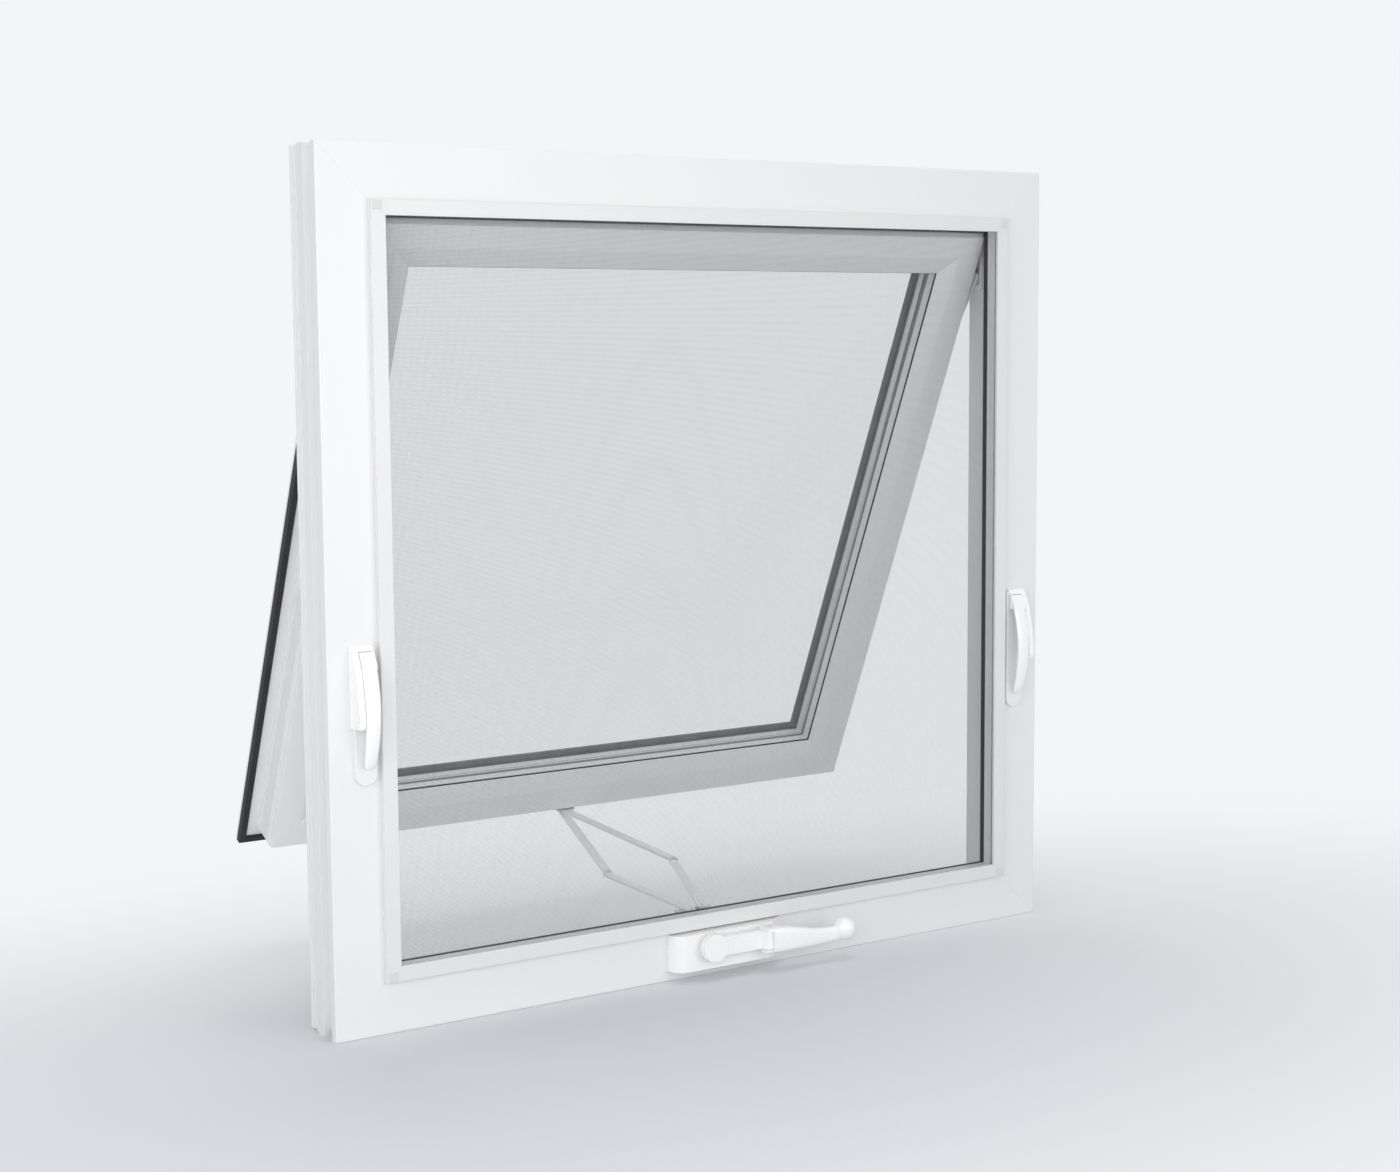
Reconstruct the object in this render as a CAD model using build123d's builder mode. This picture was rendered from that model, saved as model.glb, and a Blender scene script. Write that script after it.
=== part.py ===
from build123d import *

import os
from math import atan2, cos, degrees, radians, sin

# Awning window with its sash swung open at the bottom. Sizes are in millimetres.
# +X is to the right seen from the room, +Y to the outside and +Z up. The origin is the
# middle of the frame's underside, half way through its depth. A depth is counted outward
# from the room face, an inset from an outer edge towards the middle of the window.

# Frame profile
FRAME_WIDTH = 932
FRAME_HEIGHT = 900
FRAME_DEPTH = 64
STOP_INSET = 70
STOP_DEPTH = 12
REBATE_INSET = 54
FLANGE_DEPTH = 11
CHANNEL_WIDTH = 17.7
CHANNEL_RECESS = 8
RIB_WIDTH = 14.3
REAR_RECESS = 1.5
REAR_GROOVE_START = 52
REAR_GROOVE_WIDTH = 4
FACE_ROUNDING = 1.5
SEAL_DEPTH = 8
SEAL_WIDTH = 7

# Insect screen in front of the frame's room face
SCREEN_INSET = 55
SCREEN_FACE = 16
SCREEN_THICKNESS = 8
SCREEN_LIP = 6
SCREEN_LIP_THICKNESS = 4
MESH_THICKNESS = 0.5
MESH_OPENINGS = 9
MESH_STRAND = 3
PLUG_WIDTH = 10
PLUG_HEIGHT = 9
PLUG_PROUD = 0.8
PLUG_MARGIN = 1.5

# Sash
OPEN_ANGLE = 23.5
SASH_TOP_DEPTH = 18.4
SASH_TOP_DROP = 19.4
SASH_SIDE_GAP = 14
SASH_END_GAP = 18
SASH_BODY_DEPTH = 47
SASH_FACE = 30
GLAZING_FACE = 52
LIP_DEPTH = 10
LIP_OVERHANG = 19
LIP_BEVEL = 5
TOP_BEVEL = 5
LIP_NOTCH = 28
BEAD_DEPTH = 9
BEAD_STEP = 2
WEATHERSTRIP_WIDTH = 6
WEATHERSTRIP_DEPTH = 4
WEATHERSTRIP_MARGIN = 1

# Triple glazing
PANE_THICKNESS = 4
PANE_GAP = 12
PANE_EDGE_GAP = 3
SPACER_FACE = 15
GASKET_THICKNESS = 1.5
GASKET_FACE = 9
GASKET_PROUD = 0.8

# Friction stays between the sash and the jambs
TRACK_WIDTH = 18
TRACK_THICKNESS = 2.5
TRACK_LIP = 1.5
TRACK_LIP_HEIGHT = 3
TRACK_TAIL = 6
SHOE_CLEARANCE = 0.5
STAY_PIN_RADIUS = 3
STAY_BAR_WIDTH = 16
STAY_BAR_DEPTH = 24
STAY_BAR_TOP = 15
STAY_BAR_LENGTH = 175
STAY_ARM_WIDTH = 11
STAY_ARM_THICKNESS = 2.5
SHORT_ARM_SEAT = 40
LONG_ARM_SEAT = 150
HEAD_PIVOT_DROP = 12
SHOE_PIVOT_DROP = 68
SHOE_LENGTH = 20

# Operator: cover, crank and folding handle on the sill's room face
COVER_LEFT = -69
COVER_LENGTH = 152
COVER_BOTTOM = 12
COVER_HEIGHT = 41
COVER_PROUD = 20
COVER_SLOPE = 24
COVER_CORNER = 14
HUB_X = -26
HUB_Z = 38
HUB_RADIUS = 15.5
HUB_BOSS = 2
SPINDLE_RADIUS = 7
CRANK_CLEARANCE = 5
ARM_HEIGHT = 21
ARM_THICKNESS = 7
CRANK_LENGTH = 71
KNUCKLE_RADIUS = 8
KNUCKLE_CLEARANCE = 0.6
HANDLE_PIN_RADIUS = 3
PIN_CLEARANCE = 0.05
HANDLE_HEIGHT = 29
HANDLE_SHELL = 4
HANDLE_LENGTH = 100
HANDLE_GRIP_LENGTH = 34
HANDLE_GRIP_DEPTH = 17
HANDLE_GRIP_HEIGHT = 26
HANDLE_NECK_HEIGHT = 18
HANDLE_NECK_DEPTH = 9
HANDLE_NECK_DROP = 4
KNOB_RADIUS = 13.5
KNOB_OUTSET = 6
KNOB_DROP = 1
KNOB_FACETS = 8

# Operator: the two riveted arms behind the screen
LINK_CENTRE = -12
LINK_PIVOT_DEPTH = 28
LINK_PIVOT_HEIGHT = 12
LINK_PIVOT_SPREAD = 14
LINK_ELBOW_SPREAD = 91
LINK_ELBOW_REACH = 121
LINK_WIDTH = 10
LINK_THICKNESS = 3
LINK_SEAT_DEPTH = 10
LINK_SEAT_DROP = 14
RIVET_RADIUS = 2.5
RIVET_HEAD_RADIUS = 4
RIVET_HEAD = 1
GEAR_PLATE_LENGTH = 120
GEAR_PLATE_WIDTH = 34
GEAR_PLATE_THICKNESS = 3
GEAR_BOX_LENGTH = 46
BRACKET_WIDTH = 24
BRACKET_REACH = 8

# Locks on both jambs
LOCK_INSET = 40
LOCK_BOTTOM = 261
LOCK_HEIGHT = 143
LOCK_PLATE_WIDTH = 24
LOCK_PLATE_PROUD = 5
LOCK_PLATE_CORNER = 8
LOCK_BODY_WIDTH = 29
LOCK_BODY_CORNER = 9
LOCK_BODY_HEIGHT = 90
LOCK_BODY_PROUD = 8
LOCK_HOOD_HEIGHT = 26
LOCK_HOOD_PROUD = 22
LEVER_WIDTH = 13
LEVER_SIDE_GAP = 0.5
LEVER_ROOT_GAP = 1
LEVER_THICKNESS = 6
LEVER_PIVOT_DROP = 15
LEVER_PIVOT_PROUD = 14
LEVER_REACH = 120
LEVER_BOW = 19

room_face = -FRAME_DEPTH / 2
frame_base = Plane(origin=(0, room_face, 0))
rebate_top = FRAME_HEIGHT - REBATE_INSET
sash_width = FRAME_WIDTH - 2 * (REBATE_INSET + SASH_SIDE_GAP)
sash_height = FRAME_HEIGHT - 2 * (REBATE_INSET + SASH_END_GAP)
sash_base = Plane(
    origin=(0, room_face + SASH_TOP_DEPTH, rebate_top - SASH_TOP_DROP),
    x_dir=(1, 0, 0),
    z_dir=(0, -sin(radians(OPEN_ANGLE)), cos(radians(OPEN_ANGLE))),
)


def rectangle_edges(base, width, bottom, top):
    """Edge planes of an upright rectangle on base, each with its length.

    In each plane X runs along the edge, Y outward and Z towards the rectangle's middle.
    """
    middle = (bottom + top) / 2
    planes = {
        "bottom": (Plane((0, 0, bottom), (1, 0, 0), (0, 0, 1)), width),
        "top": (Plane((0, 0, top), (-1, 0, 0), (0, 0, -1)), width),
        "left": (Plane((-width / 2, 0, middle), (0, 0, -1), (1, 0, 0)), top - bottom),
        "right": (Plane((width / 2, 0, middle), (0, 0, 1), (-1, 0, 0)), top - bottom),
    }
    return {side: (Plane(base * plane), length) for side, (plane, length) in planes.items()}


def mitred_bar(edge, outline, rounding=0):
    """Bar along an edge, cut at 45 degrees at both ends. outline has (depth, inset) points."""
    plane, length = edge
    overhang = max(0, -min(inset for depth, inset in outline))
    with BuildPart() as bar:
        with BuildSketch(Plane(plane.origin, plane.y_dir, plane.x_dir)) as section:
            with BuildLine():
                Polyline(*outline, close=True)
            make_face()
            if rounding:
                fillet(section.vertices().group_by(Axis.X)[0], rounding)
        extrude(amount=length / 2 + overhang, both=True)
        for end in (-1, 1):
            corner = plane.origin + plane.x_dir * end * length / 2
            mitre = Plane(corner, z_dir=plane.x_dir * end + plane.z_dir)
            split(bisect_by=mitre, keep=Keep.BOTTOM)
    return bar.part


def room_plane(base, depth):
    """Plane across base at a depth, facing the room: X to the right and Y up."""
    return Plane(base.from_local_coords((0, depth, 0)), base.x_dir, -base.y_dir)


def panel(base, width, bottom, top, depth, thickness, rim=0):
    """Flat panel from a depth outward, or a rectangular ring if it has a rim."""
    with BuildPart() as sheet:
        with BuildSketch(room_plane(base, depth + thickness)):
            with Locations((0, (bottom + top) / 2)):
                Rectangle(width, top - bottom)
                if rim:
                    Rectangle(width - 2 * rim, top - bottom - 2 * rim, mode=Mode.SUBTRACT)
        extrude(amount=thickness)
    return sheet.part


def flat_link(plane, start, end, width, thickness, pin_radius=0):
    """Flat bar on a plane with round ends, and a pin hole at both if it has pins."""
    run = Vector(*end) - Vector(*start)
    with BuildPart() as link:
        with BuildSketch(plane):
            with Locations((Vector(*start) + Vector(*end)) / 2):
                SlotCenterToCenter(run.length, width, rotation=degrees(atan2(run.Y, run.X)))
            if pin_radius:
                with Locations(start, end):
                    Circle(pin_radius, mode=Mode.SUBTRACT)
        extrude(amount=thickness)
    return link.part


def stepped_pin(plane, point, steps):
    """Turned pin on a plane at a point. steps has (from, to, radius) along its axis."""
    with BuildPart() as pin:
        for low, high, radius in steps:
            with BuildSketch(plane.offset(low)):
                with Locations(point):
                    Circle(radius)
            extrude(amount=high - low)
    return pin.part


def write(builder, name):
    """Label a finished piece and write it to its own file."""
    builder.part.label = name
    export_step(builder.part, f"parts/{name}.step")


os.makedirs("parts", exist_ok=True)

# Frame: four welded, mitred members with one profile
channel_end = FLANGE_DEPTH + CHANNEL_WIDTH
rib_end = channel_end + RIB_WIDTH
groove_end = REAR_GROOVE_START + REAR_GROOVE_WIDTH
frame_outline = [
    (0, 0),
    (FLANGE_DEPTH, 0),
    (FLANGE_DEPTH, CHANNEL_RECESS),
    (channel_end, CHANNEL_RECESS),
    (channel_end, 0),
    (rib_end, 0),
    (rib_end, REAR_RECESS),
    (REAR_GROOVE_START, REAR_RECESS),
    (REAR_GROOVE_START, 2 * REAR_RECESS),
    (groove_end, 2 * REAR_RECESS),
    (groove_end, REAR_RECESS),
    (FRAME_DEPTH, REAR_RECESS),
    (FRAME_DEPTH, REBATE_INSET),
    (STOP_DEPTH, REBATE_INSET),
    (STOP_DEPTH, STOP_INSET),
    (0, STOP_INSET),
]
frame_edges = rectangle_edges(frame_base, FRAME_WIDTH, 0, FRAME_HEIGHT)
frame_names = {
    "bottom": "frame_sill",
    "top": "frame_head",
    "left": "frame_jamb_left",
    "right": "frame_jamb_right",
}
for side, name in frame_names.items():
    member = mitred_bar(frame_edges[side], frame_outline, FACE_ROUNDING)
    with BuildPart() as frame_member:
        add(member)
    write(frame_member, name)

# Black seal behind the stop, all round
seal_outer = STOP_INSET - SEAL_WIDTH
seal_ring = panel(
    frame_base,
    FRAME_WIDTH - 2 * seal_outer,
    seal_outer,
    FRAME_HEIGHT - seal_outer,
    STOP_DEPTH,
    SEAL_DEPTH,
    rim=SEAL_WIDTH,
)
with BuildPart() as frame_seal:
    add(seal_ring)
write(frame_seal, "frame_seal")

# Insect screen: butted frame bars with a ledge that carries the mesh and its cord
screen_width = FRAME_WIDTH - 2 * SCREEN_INSET
screen_top = FRAME_HEIGHT - SCREEN_INSET
screen_outline = [
    (-SCREEN_THICKNESS, 0),
    (0, 0),
    (0, SCREEN_LIP),
    (SCREEN_LIP_THICKNESS - SCREEN_THICKNESS, SCREEN_LIP),
    (SCREEN_LIP_THICKNESS - SCREEN_THICKNESS, SCREEN_FACE),
    (-SCREEN_THICKNESS, SCREEN_FACE),
]
screen_edges = rectangle_edges(frame_base, screen_width, SCREEN_INSET, screen_top)
for side, (plane, length) in screen_edges.items():
    member = mitred_bar((plane, length), screen_outline, FACE_ROUNDING / 2)
    with BuildPart() as screen_bar:
        add(member)
    write(screen_bar, f"screen_bar_{side}")

mesh_depth = SCREEN_LIP_THICKNESS - SCREEN_THICKNESS
mesh_width = screen_width - 2 * SCREEN_LIP
mesh_bottom = SCREEN_INSET + SCREEN_LIP
mesh_top = screen_top - SCREEN_LIP
mesh_pitch_x = mesh_width / MESH_OPENINGS
mesh_pitch_z = (mesh_top - mesh_bottom) / MESH_OPENINGS
with BuildPart() as screen_mesh:
    with BuildSketch(room_plane(frame_base, mesh_depth + MESH_THICKNESS)):
        with Locations((0, (mesh_bottom + mesh_top) / 2)):
            Rectangle(mesh_width, mesh_top - mesh_bottom)
            with GridLocations(mesh_pitch_x, mesh_pitch_z, MESH_OPENINGS, MESH_OPENINGS):
                Rectangle(
                    mesh_pitch_x - MESH_STRAND, mesh_pitch_z - MESH_STRAND, mode=Mode.SUBTRACT
                )
    extrude(amount=MESH_THICKNESS)
write(screen_mesh, "screen_mesh")

cord_depth = mesh_depth + MESH_THICKNESS
cord_width = (SCREEN_FACE - SCREEN_LIP) / 2
cord_ring = panel(
    frame_base, mesh_width, mesh_bottom, mesh_top, cord_depth, -cord_depth, rim=cord_width
)
with BuildPart() as screen_spline:
    add(cord_ring)
write(screen_spline, "screen_spline")

with BuildPart() as screen_corner_plugs:
    with BuildSketch(room_plane(frame_base, -SCREEN_THICKNESS)):
        plug_x = (screen_width - PLUG_WIDTH) / 2 - PLUG_MARGIN
        plug_z = (FRAME_HEIGHT - PLUG_HEIGHT) / 2 - SCREEN_INSET - PLUG_MARGIN
        with Locations((0, FRAME_HEIGHT / 2)):
            with GridLocations(2 * plug_x, 2 * plug_z, 2, 2):
                Rectangle(PLUG_WIDTH, PLUG_HEIGHT)
    extrude(amount=PLUG_PROUD)
write(screen_corner_plugs, "screen_corner_plugs")

# Sash: mitred rails and stiles, with an outer lip that overlaps the frame at the sides
# and bottom and carries the glass from outside
lip_end = SASH_BODY_DEPTH + LIP_DEPTH
glazing_outline = [
    (lip_end, GLAZING_FACE - LIP_BEVEL),
    (lip_end - LIP_BEVEL, GLAZING_FACE),
    (SASH_BODY_DEPTH, GLAZING_FACE),
    (SASH_BODY_DEPTH, SASH_FACE),
    (0, SASH_FACE),
]
sash_outline = [
    (0, 0),
    (SASH_BODY_DEPTH, 0),
    (SASH_BODY_DEPTH, -LIP_OVERHANG),
    (lip_end, -LIP_OVERHANG),
] + glazing_outline
top_outline = [
    (0, TOP_BEVEL),
    (TOP_BEVEL, 0),
    (SASH_BODY_DEPTH - TOP_BEVEL / 2, 0),
    (SASH_BODY_DEPTH, TOP_BEVEL),
    (lip_end, TOP_BEVEL),
] + glazing_outline
sash_edges = rectangle_edges(sash_base, sash_width, -sash_height, 0)
bottom_rail = mitred_bar(sash_edges["bottom"], sash_outline)
with BuildPart() as sash_bottom_rail:
    add(bottom_rail)
write(sash_bottom_rail, "sash_bottom_rail")

top_rail = mitred_bar(sash_edges["top"], top_outline)
with BuildPart() as sash_top_rail:
    add(top_rail)
write(sash_top_rail, "sash_top_rail")

notch_height = LIP_NOTCH + LIP_OVERHANG
lip_room_side = SASH_BODY_DEPTH - TOP_BEVEL / 2
bevel_plane = Plane(
    sash_base.from_local_coords((0, 0, -TOP_BEVEL)), z_dir=sash_base.z_dir - sash_base.y_dir
)
for side in ("left", "right"):
    stile = mitred_bar(sash_edges[side], sash_outline)
    with BuildPart() as sash_stile:
        add(stile)
        split(bisect_by=bevel_plane, keep=Keep.BOTTOM)
        with BuildSketch(room_plane(sash_base, lip_end)):
            with Locations((0, notch_height / 2 - LIP_NOTCH)):
                Rectangle(FRAME_WIDTH, notch_height)
                Rectangle(sash_width, notch_height, mode=Mode.SUBTRACT)
            with Locations((0, notch_height / 2 - TOP_BEVEL)):
                Rectangle(sash_width, notch_height)
        extrude(amount=lip_end - lip_room_side, mode=Mode.SUBTRACT)
    write(sash_stile, f"sash_stile_{side}")

# Soft strip on the room side of the lip, at the sides and the bottom
strip_reach = LIP_OVERHANG - WEATHERSTRIP_MARGIN
strip_top = -LIP_NOTCH - WEATHERSTRIP_MARGIN
with BuildPart() as sash_weatherstrip:
    with BuildSketch(room_plane(sash_base, SASH_BODY_DEPTH)):
        with Locations((0, (strip_top - sash_height - strip_reach) / 2)):
            Rectangle(sash_width + 2 * strip_reach, strip_top + sash_height + strip_reach)
        inner_reach = strip_reach - WEATHERSTRIP_WIDTH
        with Locations((0, (strip_top - sash_height - inner_reach) / 2)):
            Rectangle(
                sash_width + 2 * inner_reach,
                strip_top + sash_height + inner_reach,
                mode=Mode.SUBTRACT,
            )
    extrude(amount=WEATHERSTRIP_DEPTH)
write(sash_weatherstrip, "sash_weatherstrip")

# Glazing beads, snapped in from the room side
gasket_start = GLAZING_FACE - GASKET_FACE + GASKET_PROUD
bead_outline = [
    (0, SASH_FACE),
    (0, SASH_FACE + BEAD_STEP),
    (BEAD_DEPTH - 2 * GASKET_THICKNESS, GLAZING_FACE),
    (BEAD_DEPTH - GASKET_THICKNESS, GLAZING_FACE),
    (BEAD_DEPTH - GASKET_THICKNESS, gasket_start),
    (BEAD_DEPTH, gasket_start),
    (BEAD_DEPTH, SASH_FACE),
]
bead_names = {
    "glazing_beads_across": ("bottom", "top"),
    "glazing_beads_upright": ("left", "right"),
}
for name, sides in bead_names.items():
    beads = [mitred_bar(sash_edges[side], bead_outline) for side in sides]
    with BuildPart() as glazing_beads:
        add(beads)
    write(glazing_beads, name)

# Glass unit: three panes with two spacers, held between an inner and an outer gasket
pane_inset = SASH_FACE + PANE_EDGE_GAP
pane_width = sash_width - 2 * pane_inset
pane_bottom = pane_inset - sash_height
pane_top = -pane_inset
pane_pitch = PANE_THICKNESS + PANE_GAP
pane_names = ("glass_inner", "glass_middle", "glass_outer")
for row, name in enumerate(pane_names):
    pane = panel(
        sash_base, pane_width, pane_bottom, pane_top, BEAD_DEPTH + row * pane_pitch, PANE_THICKNESS
    )
    with BuildPart() as glass:
        add(pane)
    write(glass, name)

spacers = []
for row in range(len(pane_names) - 1):
    spacer_depth = BEAD_DEPTH + PANE_THICKNESS + row * pane_pitch
    spacers.append(
        panel(sash_base, pane_width, pane_bottom, pane_top, spacer_depth, PANE_GAP, rim=SPACER_FACE)
    )
with BuildPart() as glass_spacers:
    add(spacers)
write(glass_spacers, "glass_spacers")

unit_end = BEAD_DEPTH + (len(pane_names) - 1) * pane_pitch + PANE_THICKNESS
gasket_width = sash_width - 2 * gasket_start
gaskets = []
for depth, thickness in (
    (BEAD_DEPTH - GASKET_THICKNESS, GASKET_THICKNESS),
    (unit_end, SASH_BODY_DEPTH - unit_end),
):
    gaskets.append(
        panel(
            sash_base,
            gasket_width,
            gasket_start - sash_height,
            -gasket_start,
            depth,
            thickness,
            rim=GASKET_FACE,
        )
    )
with BuildPart() as glazing_gaskets:
    add(gaskets)
write(glazing_gaskets, "glazing_gaskets")

# Friction stays: a track on the jamb, a bar on the sash and two arms between them.
# The right-hand stay is drawn in upright planes and mirrored for the left.
jamb_x = FRAME_WIDTH / 2 - REBATE_INSET
sash_x = sash_width / 2
track_x = jamb_x - TRACK_THICKNESS
arm_end = track_x - TRACK_LIP_HEIGHT
arm_x = arm_end - STAY_ARM_THICKNESS


def on_bar(distance):
    """Point (y, z) on the sash bar's centre line, a distance below its top end."""
    point = sash_base.from_local_coords((0, STAY_BAR_DEPTH, -STAY_BAR_TOP - distance))
    return (point.Y, point.Z)


track_y = on_bar(0)[0]
head_pivot = (track_y, rebate_top - HEAD_PIVOT_DROP)
shoe_pivot = (track_y, rebate_top - SHOE_PIVOT_DROP)
short_seat = on_bar(SHORT_ARM_SEAT)
long_seat = on_bar(LONG_ARM_SEAT)
track_bottom = shoe_pivot[1] - SHOE_LENGTH / 2 - TRACK_TAIL

with BuildPart() as stay_tracks:
    with BuildSketch(Plane.XY.offset(track_bottom)):
        with Locations((jamb_x, track_y)):
            Rectangle(jamb_x - arm_end, TRACK_WIDTH, align=(Align.MAX, Align.CENTER))
        with Locations((track_x, track_y)):
            Rectangle(
                TRACK_LIP_HEIGHT,
                TRACK_WIDTH - 2 * TRACK_LIP,
                align=(Align.MAX, Align.CENTER),
                mode=Mode.SUBTRACT,
            )
    extrude(amount=rebate_top - track_bottom)
    mirror(about=Plane.YZ)
write(stay_tracks, "stay_tracks")

with BuildPart() as stay_shoes:
    with BuildSketch(Plane.YZ.offset(arm_end)):
        with Locations(shoe_pivot):
            Rectangle(TRACK_WIDTH - 2 * (TRACK_LIP + SHOE_CLEARANCE), SHOE_LENGTH)
    extrude(amount=TRACK_LIP_HEIGHT)
    mirror(about=Plane.YZ)
write(stay_shoes, "stay_shoes")

bar_run = Vector(*on_bar(STAY_BAR_LENGTH)) - Vector(*on_bar(0))
with BuildPart() as stay_sash_bars:
    with BuildSketch(Plane.YZ.offset(sash_x)):
        with Locations((Vector(*on_bar(0)) + Vector(*on_bar(STAY_BAR_LENGTH))) / 2):
            Rectangle(
                bar_run.length, STAY_BAR_WIDTH, rotation=degrees(atan2(bar_run.Y, bar_run.X))
            )
    extrude(amount=arm_x - sash_x)
    mirror(about=Plane.YZ)
write(stay_sash_bars, "stay_sash_bars")

arm_plane = Plane.YZ.offset(arm_x)
arms = [
    flat_link(arm_plane, pivot, seat, STAY_ARM_WIDTH, STAY_ARM_THICKNESS)
    for pivot, seat in ((head_pivot, short_seat), (shoe_pivot, long_seat))
]
with BuildPart() as stay_arms:
    add(arms)
    mirror(about=Plane.YZ)
write(stay_arms, "stay_arms")

with BuildPart() as stay_pins:
    with BuildSketch(Plane.YZ.offset(arm_end)):
        with Locations(head_pivot):
            Circle(STAY_PIN_RADIUS)
    extrude(amount=TRACK_LIP_HEIGHT)
    mirror(about=Plane.YZ)
write(stay_pins, "stay_pins")

# Operator cover: a plan outline pulled upward, with the spindle standing out of its front
cover_right = COVER_LEFT + COVER_LENGTH
cover_front = room_face - COVER_PROUD
with BuildPart() as operator_cover:
    with BuildSketch(Plane.XY.offset(COVER_BOTTOM)) as cover_plan:
        with BuildLine():
            Polyline(
                (COVER_LEFT, room_face),
                (COVER_LEFT, cover_front),
                (cover_right - COVER_SLOPE, cover_front),
                (cover_right, room_face),
                close=True,
            )
        make_face()
        fillet(cover_plan.vertices().group_by(Axis.Y)[0], COVER_CORNER)
    extrude(amount=COVER_HEIGHT)
    with BuildSketch(Plane((0, cover_front, 0), (1, 0, 0), (0, -1, 0))):
        with Locations((HUB_X, HUB_Z)):
            Circle(SPINDLE_RADIUS)
    extrude(amount=CRANK_CLEARANCE)
write(operator_cover, "operator_cover")

# Crank arm: round hub, flat arm and a knuckle at its end
crank_proud = COVER_PROUD + CRANK_CLEARANCE
crank_plane = room_plane(frame_base, -crank_proud)
pin_x = HUB_X + CRANK_LENGTH
pin_y = room_face - crank_proud - KNUCKLE_RADIUS
knuckle_bottom = HUB_Z - ARM_HEIGHT / 2
with BuildPart() as crank_arm:
    with BuildSketch(crank_plane):
        with Locations((HUB_X, HUB_Z)):
            Circle(HUB_RADIUS)
    extrude(amount=ARM_THICKNESS + HUB_BOSS)
    with BuildSketch(crank_plane):
        with Locations(((HUB_X + pin_x) / 2, HUB_Z)):
            Rectangle(CRANK_LENGTH, ARM_HEIGHT)
    extrude(amount=ARM_THICKNESS)
    with BuildSketch(Plane.XY.offset(knuckle_bottom)):
        with Locations((pin_x, pin_y)):
            Circle(KNUCKLE_RADIUS)
            Circle(HANDLE_PIN_RADIUS + PIN_CLEARANCE, mode=Mode.SUBTRACT)
    extrude(amount=ARM_HEIGHT)
    with BuildSketch(Plane.XY.offset(knuckle_bottom)):
        with Locations((pin_x, pin_y)):
            Circle(HANDLE_PIN_RADIUS + PIN_CLEARANCE)
    extrude(amount=ARM_HEIGHT, mode=Mode.SUBTRACT)
write(crank_arm, "crank_arm")

# Folding handle: a cap over the knuckle that narrows to a neck, with a ball knob
cap_outset = KNUCKLE_RADIUS + KNUCKLE_CLEARANCE + HANDLE_SHELL
cap_depth = KNUCKLE_RADIUS + cap_outset
cap_plane = Plane((pin_x, pin_y, HUB_Z), (0, 1, 0), (1, 0, 0))
cap_middle = (KNUCKLE_RADIUS - cap_outset) / 2
neck_x = HANDLE_LENGTH - KNOB_RADIUS / 2


def handle_section(station, middle, depth, height):
    """Chamfered rectangle across the handle, at a station along it."""
    with BuildSketch(cap_plane.offset(station)) as section:
        with Locations(middle):
            Rectangle(depth, height)
        chamfer(section.vertices(), HANDLE_SHELL / 2)
    return section.sketch


grip_drop = (HANDLE_GRIP_HEIGHT - HANDLE_HEIGHT) / 2
handle_sections = [
    handle_section(-KNUCKLE_RADIUS, (cap_middle, 0), cap_depth, HANDLE_HEIGHT),
    handle_section(KNUCKLE_RADIUS, (cap_middle, 0), cap_depth, HANDLE_HEIGHT),
    handle_section(
        HANDLE_GRIP_LENGTH, (cap_middle, grip_drop), HANDLE_GRIP_DEPTH, HANDLE_GRIP_HEIGHT
    ),
    handle_section(
        neck_x, (-KNOB_OUTSET, -HANDLE_NECK_DROP), HANDLE_NECK_DEPTH, HANDLE_NECK_HEIGHT
    ),
]
with BuildPart() as crank_handle:
    loft(sections=handle_sections, ruled=True)
    with BuildSketch(Plane.XY.offset(knuckle_bottom - KNUCKLE_CLEARANCE / 2)):
        with Locations((pin_x, pin_y)):
            Circle(KNUCKLE_RADIUS + KNUCKLE_CLEARANCE)
        with Locations((pin_x, pin_y)):
            Rectangle(2 * cap_depth, 2 * cap_depth, align=(Align.MAX, Align.CENTER))
    extrude(amount=ARM_HEIGHT + KNUCKLE_CLEARANCE, mode=Mode.SUBTRACT)
    with BuildSketch(Plane.XY.offset(HUB_Z - HANDLE_HEIGHT / 2)):
        with Locations((pin_x, pin_y)):
            Circle(HANDLE_PIN_RADIUS)
    extrude(amount=HANDLE_HEIGHT, mode=Mode.SUBTRACT)
write(crank_handle, "crank_handle")

with BuildPart() as handle_pin:
    with BuildSketch(Plane.XY.offset(HUB_Z - HANDLE_HEIGHT / 2)):
        with Locations((pin_x, pin_y)):
            Circle(HANDLE_PIN_RADIUS)
    extrude(amount=HANDLE_HEIGHT)
write(handle_pin, "handle_pin")

knob_middle = (pin_x + HANDLE_LENGTH, pin_y - KNOB_OUTSET, HUB_Z - KNOB_DROP)
knob_plane = Plane(knob_middle, x_dir=(1, 0, 0), z_dir=(0, -1, 0))
with BuildPart() as crank_knob:
    with BuildSketch(knob_plane):
        RegularPolygon(
            KNOB_RADIUS, KNOB_FACETS, major_radius=False, rotation=180 / KNOB_FACETS
        )
        Rectangle(
            2 * KNOB_RADIUS, KNOB_RADIUS, align=(Align.CENTER, Align.MAX), mode=Mode.SUBTRACT
        )
    revolve(axis=Axis(knob_middle, (1, 0, 0)))
    split(bisect_by=Plane((pin_x + neck_x, pin_y, HUB_Z), z_dir=(1, 0, 0)), keep=Keep.TOP)
write(crank_knob, "crank_knob")

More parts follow.
